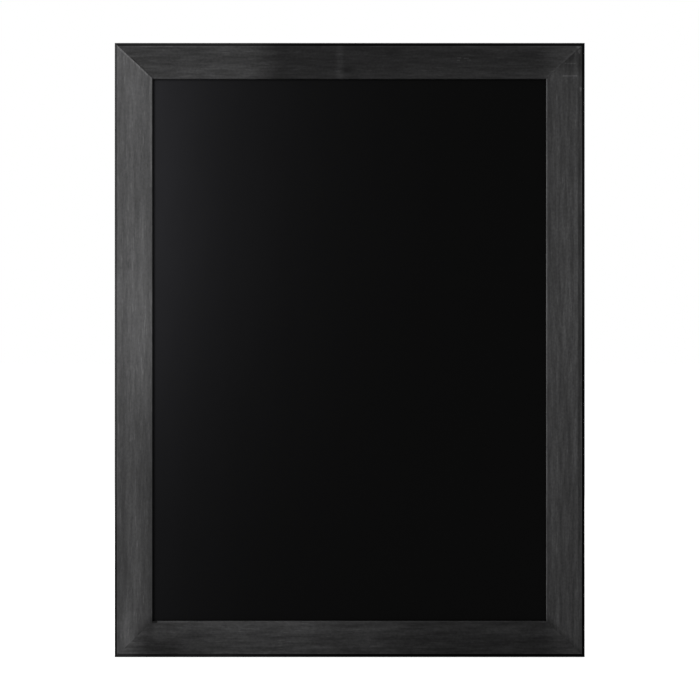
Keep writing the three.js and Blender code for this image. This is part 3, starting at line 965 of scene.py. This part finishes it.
# Rubber, gritty and a little dusty.
RUBBER_GLOSS = 0.3
RUBBER_TONES = (0.018, 0.032)
RUBBER_ROUGHNESS = (0.62, 0.78)
GRIT_SCALE = 1500
GRIT_SPREAD = 0.15
GRIT_DEPTH = 0.04 * MM
GRIT_STRENGTH = 0.5
DUST_SCALE = 160
DUST_LIMITS = (0.45, 0.8)


def steel(name, scale, detail, limits, dark, light, sheen_limits, sheen, scratches, depth, strength):
    shade = Shade(name, metallic=1.0)
    stains = shade.noise(shade.place, scale, detail, STAIN_ROUGHNESS)
    colour = shade.blend(shade.span(stains, *limits), dark, light)
    shade.bump(shade.noise(shade.scaled(shade.place, scratches)), depth, strength)
    return shade.finish(colour, shade.span(stains, *sheen_limits, *sheen))


def rubber():
    shade = Shade("bumper_rubber", specular=RUBBER_GLOSS)
    grit = shade.noise(shade.place, GRIT_SCALE, detail=3)
    dust = shade.noise(shade.place, DUST_SCALE)
    tone = shade.product(shade.around(grit, GRIT_SPREAD), shade.span(dust, *DUST_LIMITS, *RUBBER_TONES))
    shade.bump(grit, GRIT_DEPTH, GRIT_STRENGTH)
    roughness = shade.span(dust, *NOISE_MIDDLE, *RUBBER_ROUGHNESS)
    return shade.finish(shade.tinted(tone, (1, 1, 1)), roughness)


blue_steel = steel("blued_steel", **BLUED)
zinc = steel("zinc_plate", **ZINC)
bumper_rubber = rubber()


# Corner nails: steel Vs with rolled edges, driven below the back across each mitre.

def nail_outline(grow=0.0):
    half = NAIL_SHEET / 2 + grow
    radius = NAIL_CURL + grow
    turn = math.degrees(math.asin(half / radius))
    first = arc((NAIL_LEG, 0), radius, turn - 180, 180 - turn, CURL_FACETS)
    second = arc((0, NAIL_LEG), radius, turn - 90, 270 - turn, CURL_FACETS)
    return [(-half, -half)] + first + [(half, half)] + second


def driven(name, outline, thickness, edge, back, spot):
    """A sheet across a mitre, its thickness along Y, with its far side at a depth."""
    mesh = upright(cut_sheet(name, [outline], thickness, edge))
    deepest = max(vertex.co.y for vertex in mesh.vertices)
    mesh.transform(Matrix.Translation((0, back - deepest, 0)))
    mesh.transform(spot)
    return mesh


def nail_cutters(spot):
    """A pocket round a nail, and over it a dent that slopes down from the frame's back."""
    pocket = driven("pocket", nail_outline(POCKET_GAP), NAIL_DEPTH + NAIL_SINK, NAIL_EDGE, frame_back, spot)
    triangle = [(-DENT_BACK, -DENT_BACK), (DENT_REACH, -DENT_BACK), (-DENT_BACK, DENT_REACH)]
    dent = driven("dent", triangle, DENT_CUT, NAIL_SINK, frame_back + DENT_CUT - NAIL_SINK, spot)
    return [pocket, dent]


nail_room = 1 - (REBATE_WIDTH + DENT_REACH) / min(stile_width, rail_width)
for name, x, z, turn, joined in (
    ("lower_left", -1, -1, 0, ("left", "bottom")),
    ("lower_right", 1, -1, -90, ("right", "bottom")),
    ("upper_right", 1, 1, 180, ("right", "top")),
    ("upper_left", -1, 1, 90, ("left", "top")),
):
    for i, place in enumerate(NAIL_PLACES):
        share = place * nail_room
        spot = side_place(turn, x * (board_width / 2 - share * stile_width),
                          middle + z * (middle - share * rail_width))
        node = f"corner_nail_{name}_{i + 1}"
        nail = driven(node + "_steel", nail_outline(), NAIL_DEPTH, NAIL_EDGE, frame_back - NAIL_SINK, spot)
        finished(new_object(node + "_steel", nail), blue_steel, [node])
        for side in joined:
            side_named[side].cutters += nail_cutters(spot)


# Flexible points: steel tabs driven into the rebate's wall, over the backing board.

def point_outline(grow=0.0):
    half = POINT_WIDTH / 2 + grow
    tail = -POINT_BITE - grow
    tip = arc((POINT_REACH - POINT_WIDTH / 2, 0), half, -90, 90, POINT_FACETS)
    return [(tail, 0), (tail + POINT_TAPER, -half)] + tip + [(tail + POINT_TAPER, half)]


def point_mesh(name):
    mesh = cut_sheet(name, [point_outline()], POINT_SHEET, POINT_EDGE)
    start = POINT_REACH - POINT_TIP
    mesh = sliced(mesh, [start + POINT_TIP * k / LIFT_FACETS for k in range(LIFT_FACETS)], (1, 0, 0))
    for vertex in mesh.vertices:
        past = max(0.0, vertex.co.x - start) / POINT_TIP
        vertex.co.z += POINT_LIFT * past * past * (2 - past)
    mesh.transform(Matrix.Scale(-1, 4, (0, 0, 1)))
    return tidy(upright(mesh))


point_front = backing_high.y + SEAT_GAP
for side in sides:
    for i in range(side.points):
        along = ((i + 0.5) / side.points - 0.5) * side.sight
        spot = side.place @ Matrix.Translation((side.wall, point_front + POINT_SHEET / 2, along))
        node = f"flexible_point_{side.name}_{i + 1}"
        mesh = point_mesh(node + "_steel")
        mesh.transform(spot)
        finished(new_object(node + "_steel", mesh), blue_steel, [node])
        thickness = POINT_SHEET + 2 * POCKET_GAP
        slot = upright(cut_sheet("slot", [point_outline(POCKET_GAP)], thickness, POINT_EDGE))
        slot.transform(spot)
        side.cutters.append(slot)


# Strap hangers.

fold_radius = WIRE / 2 + WIRE_PLAY + STRAP_SHEET / 2
bar_height = WIRE / 2 + WIRE_PLAY + STRAP_SHEET
strap_top = 2 * STRAP_SHEET + STRAP_SLIT
bow_radius = STRAP_WIDTH / 2 + RING_SHOULDER + RING_CORNER
bow_middle = RING_CORNER + RING_SIDE
first_screw = bow_middle + bow_radius + WIRE / 2 + HEAD_TO_RING + HEAD_RADIUS
screw_places = (first_screw, first_screw + SCREW_PITCH)
strap_length = first_screw + SCREW_PITCH + STRAP_END
screw_length = frame_depth + strap_top - SCREW_STOP


def strap_path():
    """The middle of the strap's sheet, in Z and Y: below the bar, round it, and back on itself."""
    upper = strap_top - STRAP_SHEET / 2
    reach = fold_radius + STRAP_BEND
    drop = upper + STRAP_BEND - bar_height
    back = -math.sqrt(reach * reach - drop * drop)
    turn = math.degrees(math.atan2(drop, back)) % 360
    path = [(-strap_length, STRAP_SHEET / 2)]
    path += arc((0, bar_height), fold_radius, -90, turn, FOLD_FACETS)
    path += arc((back, upper + STRAP_BEND), STRAP_BEND, turn - 180, -90, BEND_FACETS)
    path.append((-strap_length, upper))
    return [Vector(point) for point in path]


def strap_mesh(name):
    """The strap is cut flat, with X across it and Y along its path, and is then bent along the path."""
    path = strap_path()
    places = [0.0]
    for before, after in zip(path, path[1:]):
        places.append(places[-1] + (after - before).length)
    total = places[-1]
    half = STRAP_WIDTH / 2
    rim = arc((0, half), half, 180, 360, STRAP_END_FACETS)
    rim += arc((0, total - half), half, 0, 180, STRAP_END_FACETS)
    holes = []
    for place in screw_places:
        for centre in (strap_length - place, total - strap_length + place):
            hole = arc((0, centre), HOLE_RADIUS, 0, 360 - 360 / HOLE_SIDES, HOLE_SIDES - 1)
            holes.append(list(reversed(hole)))
    mesh = cut_sheet(name, [rim, *holes], STRAP_SHEET, STRAP_EDGE)
    mesh = sliced(mesh, places[1:-1], (0, 1, 0))
    for vertex in mesh.vertices:
        x, s, height = vertex.co
        i = max(k for k in range(len(places) - 1) if places[k] <= max(0.0, s))
        way = (path[i + 1] - path[i]).normalized()
        spot = path[i] + way * (s - places[i]) + Vector((way.y, -way.x)) * height
        vertex.co = (x, spot.y, spot.x)
    return tidy(mesh)


def ring_mesh(name):
    """A loop of round wire: a straight bar along X at Z 0, and a bow above it."""
    corner = bow_radius - RING_CORNER
    line = arc((corner, RING_CORNER), RING_CORNER, -90, 0, RING_CORNER_FACETS)
    line += arc((0, bow_middle), bow_radius, 0, 180, BOW_FACETS)
    line += arc((-corner, RING_CORNER), RING_CORNER, 180, 270, RING_CORNER_FACETS)
    line += [(x, 0) for x in evenly(-corner, corner, BAR_SPACING)]
    rings = []
    for i, (x, z) in enumerate(line):
        before = Vector(line[i - 1])
        after = Vector(line[(i + 1) % len(line)])
        way = (after - before).normalized()
        ring = []
        for k in range(WIRE_SIDES):
            angle = 2 * math.pi * k / WIRE_SIDES
            out = WIRE / 2 * math.cos(angle)
            ring.append((x + way.y * out, WIRE / 2 * math.sin(angle), z - way.x * out))
        rings.append(ring)
    return swept(name, rings, closed=True)


def recess_cutter(turn):
    """One bar of a screw's cross recess, from its floor to above the head."""
    rings = []
    for height, (long, wide) in (
        (HEAD_HEIGHT - RECESS_DEPTH, RECESS_FLOOR),
        (HEAD_HEIGHT + RECESS_DEPTH / 2, RECESS_MOUTH),
    ):
        x = long * RECESS_LENGTH / 2
        z = wide * RECESS_WIDTH / 2
        rings.append([(-x, height, -z), (x, height, -z), (x, height, z), (-x, height, z)])
    cutter = swept("recess", rings)
    cutter.transform(Matrix.Rotation(turn, 4, "Y"))
    return cutter


def screw_piece(name):
    """A pan-head wood screw along Y, its head on Y 0. Its cross recess narrows inwards."""
    crown = HEAD_HEIGHT - HEAD_EDGE
    outline = [(0, -screw_length), (SCREW_RADIUS, -screw_length + SCREW_TAPER), (SCREW_RADIUS, 0)]
    outline += [(HEAD_RADIUS - HEAD_EASE, 0), (HEAD_RADIUS, HEAD_EASE)]
    for k in range(CROWN_FACETS):
        angle = math.pi / 2 * k / CROWN_FACETS
        outline.append((HEAD_RADIUS * math.cos(angle), HEAD_EDGE + crown * math.sin(angle)))
    outline.append((0, HEAD_HEIGHT))
    piece = new_object(name, turned(name, outline, SCREW_SIDES))
    return carved(piece, [recess_cutter(0), recess_cutter(math.pi / 2)])


for side in sides:
    drop = side.ring_end * (side.length / 2 - HANGER_DROP)
    spot = side.place @ Matrix.Translation((side.wall / 2, frame_back, drop))
    if side.ring_end < 0:
        spot = spot @ Matrix.Rotation(math.pi, 4, "Y")

    strap = strap_mesh(f"strap_{side.name}")
    strap.transform(spot)
    finished(new_object(f"strap_{side.name}", strap), zinc, [f"hanger_strap_{side.name}"])

    ring = ring_mesh(f"d_ring_{side.name}")
    ring.transform(spot @ Matrix.Translation((0, bar_height, 0)))
    finished(new_object(f"d_ring_{side.name}", ring), zinc,
             [f"hanger_ring_{side.name}"], f"ring_{side.name}")

    for i, place in enumerate(screw_places):
        screw = screw_piece(f"screw_{side.name}_{i + 1}")
        turn = math.radians(SCREW_TURN + SCREW_TURN_STEP * i + SIDE_TURN_STEP * side.seed)
        seat = Matrix.Translation((0, strap_top, -place)) @ Matrix.Rotation(turn, 4, "Y")
        screw.data.transform(spot @ seat)
        finished(screw, zinc, [f"hanger_screw_{side.name}_{i + 1}"])


# Bumpers.

def bumper_mesh(name):
    rim_centre = (BUMPER_TOP_RADIUS - BUMPER_ROUND, BUMPER_HEIGHT - BUMPER_ROUND)
    outline = [(0, 0), (BUMPER_RADIUS - BUMPER_EASE, 0), (BUMPER_RADIUS, BUMPER_EASE)]
    outline += arc(rim_centre, BUMPER_ROUND, BUMPER_ROUND_START, 90, BUMPER_ROUND_FACETS)
    for k in range(BUMPER_DIMPLE_FACETS):
        angle = math.pi / 2 * k / BUMPER_DIMPLE_FACETS
        radius = BUMPER_DIMPLE_RADIUS * math.cos(angle)
        outline.append((radius, BUMPER_HEIGHT - BUMPER_DIMPLE * math.sin(angle)))
    outline.append((0, BUMPER_HEIGHT - BUMPER_DIMPLE))
    return turned(name, outline, BUMPER_SIDES)


bumper_x = board_width / 2 - (stile_width - REBATE_WIDTH) / 2
for name, z in (("lower", board_low.z + BUMPER_INSET), ("upper", board_high.z - BUMPER_INSET)):
    for end, x in (("left", -bumper_x), ("right", bumper_x)):
        mesh = bumper_mesh(f"bumper_{name}_{end}")
        mesh.transform(Matrix.Translation((x, frame_back, z)))
        finished(new_object(f"bumper_{name}_{end}", mesh), bumper_rubber,
                 [f"wall_bumper_{name}_{end}"])


# The mouldings are carved for their fasteners last.
for side in sides:
    carved(side.piece, side.cutters)
    finished(side.piece, stained(side, **WOODS[side.name]), [side.node])


# Camera, with its sensor's width and its lens in millimetres.

SENSOR = 36
LENS = 120

scene = bpy.context.scene
scene.view_settings.view_transform = "Standard"

pixel = board_width / (PHOTO_RIGHT - PHOTO_LEFT)
camera_data = bpy.data.cameras.new("camera")
camera_data.sensor_width = SENSOR
camera_data.lens = LENS
camera = new_object("camera", camera_data)
camera.location = (
    (PHOTO_SIZE / 2 - (PHOTO_LEFT + PHOTO_RIGHT) / 2) * pixel,
    frame_front - PHOTO_SIZE * pixel * LENS / SENSOR,
    middle + ((PHOTO_TOP + PHOTO_BOTTOM) / 2 - PHOTO_SIZE / 2) * pixel,
)
camera.rotation_euler = (math.pi / 2, 0, 0)
scene.camera = camera


# Lights: softboxes that face the middle of the board.

def softbox(name, place, size, power):
    data = bpy.data.lights.new(name, "AREA")
    data.shape = "RECTANGLE"
    data.size, data.size_y = size
    data.energy = power
    lamp = new_object(name, data)
    lamp.location = place
    towards = Vector((0, 0, middle)) - Vector(place)
    lamp.rotation_euler = towards.to_track_quat("-Z", "Y").to_euler()


softbox("key_light", place=(-1.0, -1.6, 1.2), size=(0.7, 1.3), power=24)
softbox("back_light", place=(1.3, 2.2, 1.5), size=(2.8, 2.8), power=40)


# Surroundings: white where they are seen, and a weaker light otherwise.

WHITE = (1, 1, 1, 1)
AMBIENT = 0.35
FLOOR_WHITE = 0.75
FLOOR_COLOUR = (0.8, 0.8, 0.8, 1)
FLOOR_REACH = 60
FLOOR_DROP = 0.2 * MM


def seen_directly(tree):
    """1 for camera, glossy and transmitted rays."""
    path = tree.add("LightPath", {})
    either = tree.maths("MAXIMUM", path["Is Camera Ray"], path["Is Glossy Ray"])
    return tree.maths("MAXIMUM", either, path["Is Transmission Ray"])


def studio_world():
    world = bpy.data.worlds.new("studio")
    tree = Tree(world)
    ambient = tree.nodes["Background"]
    ambient.inputs["Color"].default_value = WHITE
    ambient.inputs["Strength"].default_value = AMBIENT
    backdrop = tree.add("Background", {"Color": WHITE, "Strength": 1})
    mixed = tree.add("MixShader", {0: seen_directly(tree), 1: ambient.outputs[0], 2: backdrop[0]})
    tree.put(tree.nodes["World Output"].inputs["Surface"], mixed[0])
    return world


def floor_material():
    """Takes shadows, and adds enough light of its own to look white."""
    material = bpy.data.materials.new("pale_floor")
    tree = Tree(material)
    tree.nodes.clear()
    diffuse = tree.add("BsdfDiffuse", {"Color": FLOOR_COLOUR})
    glow = tree.add("Emission", {"Strength": tree.maths("MULTIPLY", seen_directly(tree), FLOOR_WHITE)})
    added = tree.add("AddShader", {0: diffuse[0], 1: glow[0]})
    tree.add("OutputMaterial", {"Surface": added[0]})
    return material


def studio_floor():
    corners = [(x * FLOOR_REACH, y * FLOOR_REACH, 0) for x, y in ((-1, -1), (1, -1), (1, 1), (-1, 1))]
    floor = new_object("studio_floor", mesh_of("studio_floor", corners, [(0, 1, 2, 3)]))
    floor.location.z = -FLOOR_DROP
    floor.data.materials.append(floor_material())
    return floor


scene.world = studio_world()
studio_floor()
